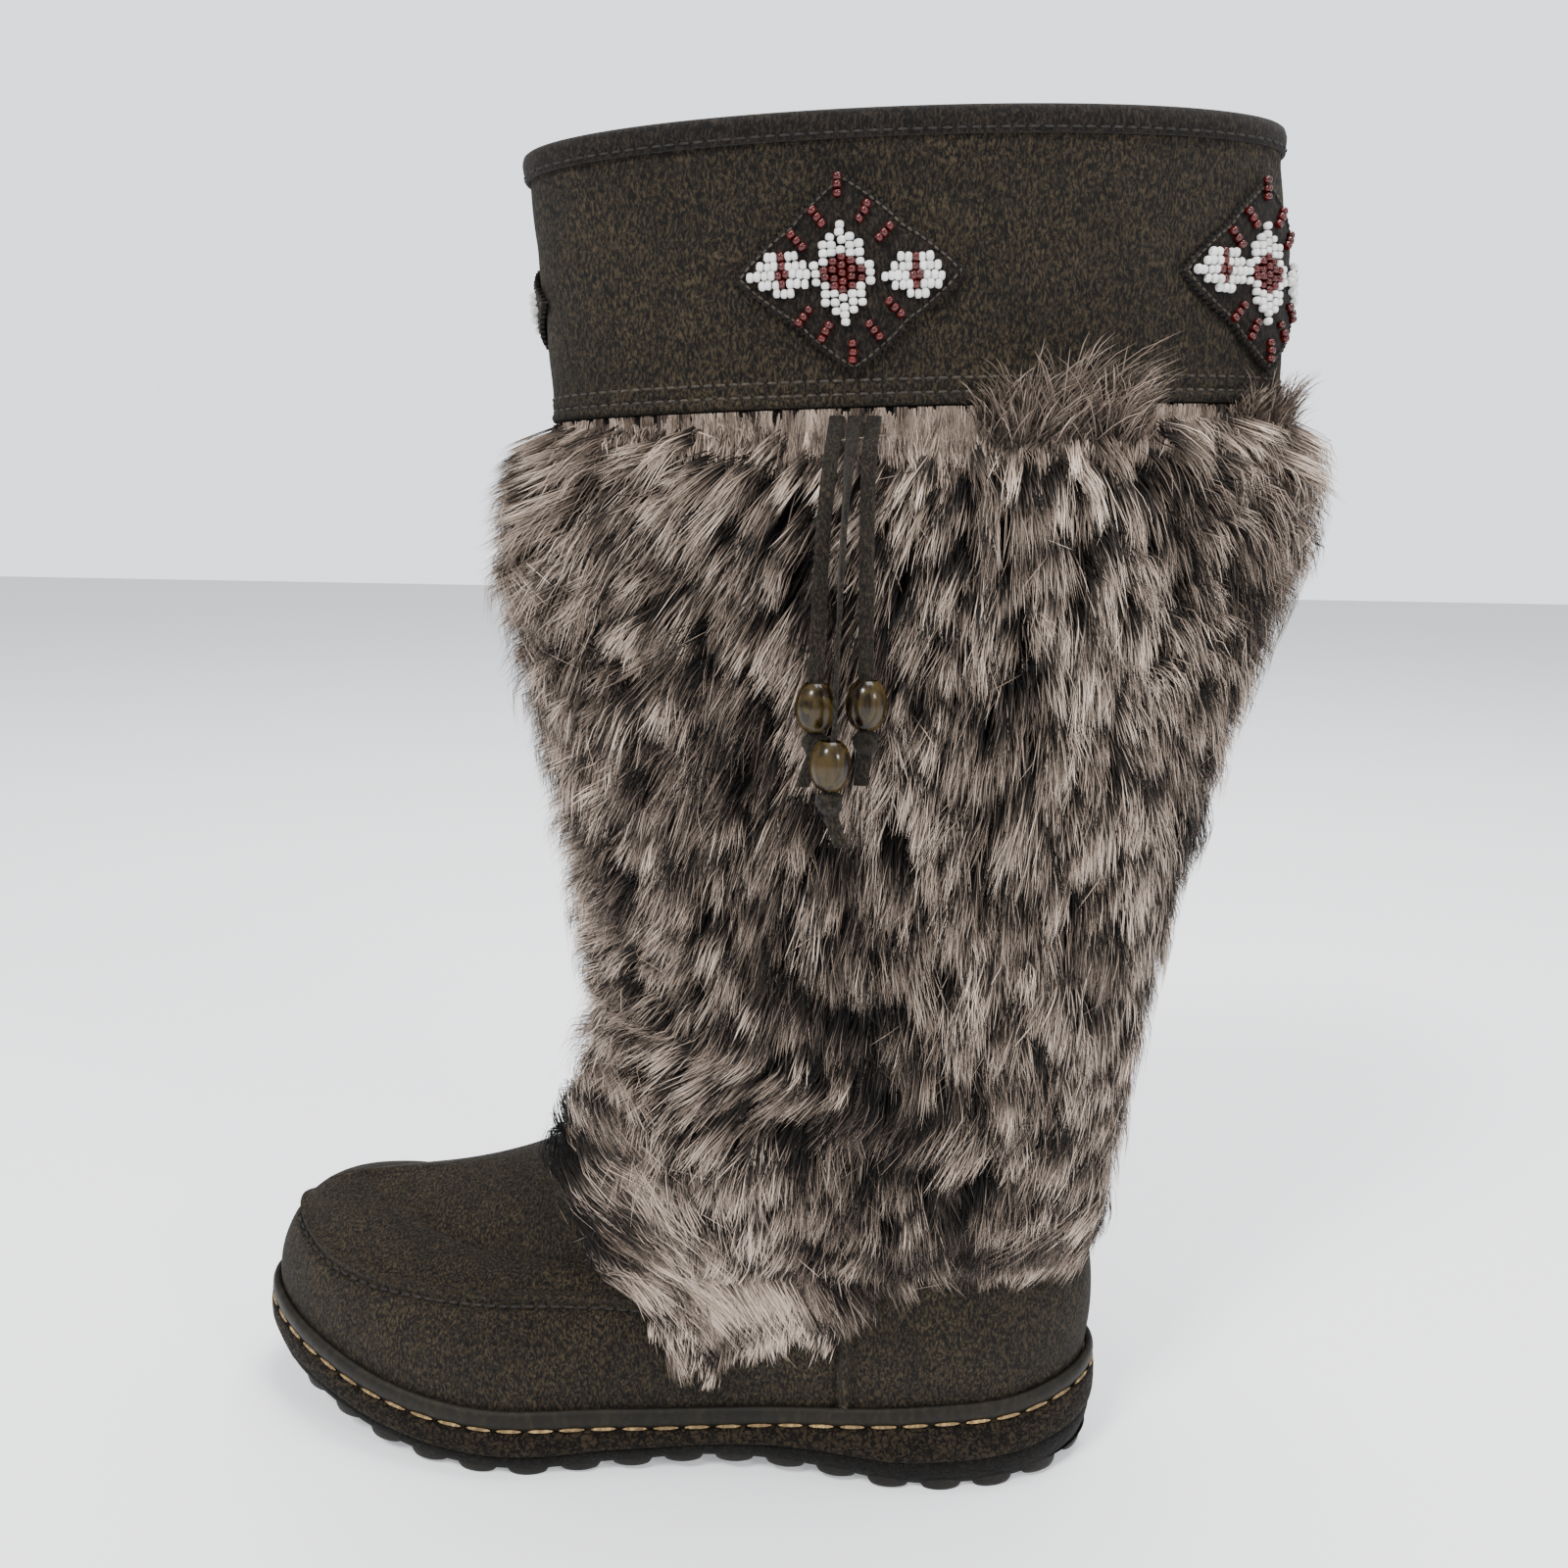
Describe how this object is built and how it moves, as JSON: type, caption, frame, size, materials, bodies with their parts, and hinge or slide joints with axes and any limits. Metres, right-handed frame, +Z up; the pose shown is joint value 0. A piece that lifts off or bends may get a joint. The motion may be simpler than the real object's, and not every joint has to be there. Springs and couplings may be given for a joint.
{
  "type": "snow boot",
  "caption": "Left winter boot with a wedge crepe sole, suede foot and shaft, long-haired pelt, beaded suede collar and knotted bead tassel.",
  "frame": {"origin": "on the floor under the middle of the heel, on the heel pad of the outsole", "axes": "+Z up the shaft; toe towards -X; the outer (lateral) side of the left foot towards -Y"},
  "size_m": [0.3383, 0.1285, 0.4104],
  "materials": {
    "suede": "olive-brown nubuck suede, matt and fibrous",
    "dark_suede": "dark brown smooth suede, matt",
    "crepe": "pebbled brown crepe, satin",
    "grip": "grey-brown grip rubber, satin",
    "welt_strip": "smooth olive-brown strip with cream stitches",
    "fleece": "taupe fleece lining",
    "hair": "long hair, charcoal roots and cream-pink tips",
    "seed_beads": "opaque white and dark red seed beads",
    "horn": "polished translucent olive-brown horn-like beads"
  },
  "bodies": {
    "root": {"outsole": "grip", "midsole": "crepe", "welt": "welt_strip", "upper": "suede", "insole": "fleece", "pelt": "hair", "collar": "suede", "binding": "dark_suede", "patch_back": "dark_suede", "beads_back_lozenge": "seed_beads", "beads_back_oval_rear": "seed_beads", "beads_back_oval_fore": "seed_beads", "patch_lateral": "dark_suede", "beads_lateral_lozenge": "seed_beads", "beads_lateral_oval_rear": "seed_beads", "beads_lateral_oval_fore": "seed_beads", "patch_front": "dark_suede", "beads_front_lozenge": "seed_beads", "beads_front_oval_rear": "seed_beads", "beads_front_oval_fore": "seed_beads", "patch_medial": "dark_suede", "beads_medial_lozenge": "seed_beads", "beads_medial_oval_rear": "seed_beads", "beads_medial_oval_fore": "seed_beads", "strip_rear": "dark_suede", "horn_bead_rear": "horn", "knot_rear": "dark_suede", "strip_fore": "dark_suede", "horn_bead_fore": "horn", "knot_fore": "dark_suede", "strip_long": "dark_suede", "horn_bead_long": "horn", "knot_long": "dark_suede"}
  },
  "joints": []
}
